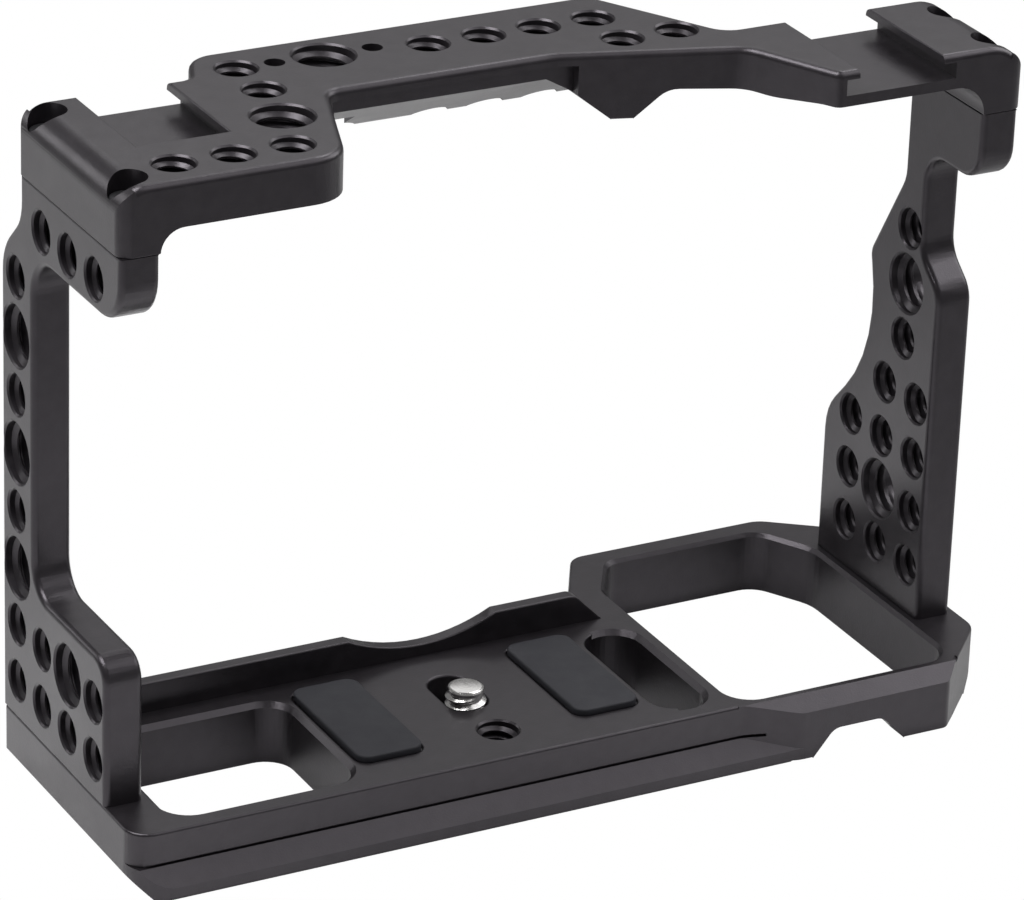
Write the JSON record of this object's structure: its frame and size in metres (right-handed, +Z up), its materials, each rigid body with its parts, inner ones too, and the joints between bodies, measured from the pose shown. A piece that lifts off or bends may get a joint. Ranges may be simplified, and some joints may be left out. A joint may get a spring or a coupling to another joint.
{
  "type": "camera cage",
  "caption": "Open metal cage that bolts round a camera body, with threaded accessory holes, two cold shoes, a dovetail base and a captive camera screw.",
  "frame": {"origin": "camera screw's axis, on the floor of the base plate that the camera stands on", "axes": "+X to the right and +Y forward towards the lens, as seen from behind the camera; +Z up"},
  "size_m": [0.1491, 0.0593, 0.1093],
  "materials": {
    "anodised_plate": "bead-blasted, black anodised",
    "rubber_pad": "matte",
    "bright_steel": "turned stainless steel",
    "black_steel": "black oxide"
  },
  "bodies": {
    "cage": {"base_plate": "anodised_plate", "left_side_plate": "anodised_plate", "right_side_plate": "anodised_plate", "top_plate": "anodised_plate", "left_rubber_pad": "rubber_pad", "right_rubber_pad": "rubber_pad", "top_screw_left_front": "black_steel", "top_screw_left_rear": "black_steel", "top_screw_right_front": "black_steel", "top_screw_right_rear": "black_steel", "base_screw_left_front": "black_steel", "base_screw_left_rear": "black_steel", "base_screw_right_front": "black_steel", "base_screw_right_rear": "black_steel"},
    "screw_slider": {"slot_washer": "bright_steel"},
    "screw_lifter": {"screw_clip": "bright_steel"},
    "thumb_screw": {"camera_screw": "bright_steel"}
  },
  "joints": [
    {"name": "screw_slide", "type": "slide", "parent": "cage", "child": "screw_slider", "axis": [0, 1, 0], "range_m": [0, 0.0053]},
    {"name": "screw_lift", "type": "slide", "parent": "screw_slider", "child": "screw_lifter", "axis": [0, 0, 1], "range_m": [0, 0.0024]},
    {"name": "screw_turn", "type": "hinge", "parent": "screw_lifter", "child": "thumb_screw", "pos_m": [0, 0, 0], "axis": [0, 0, 1], "continuous": true}
  ]
}
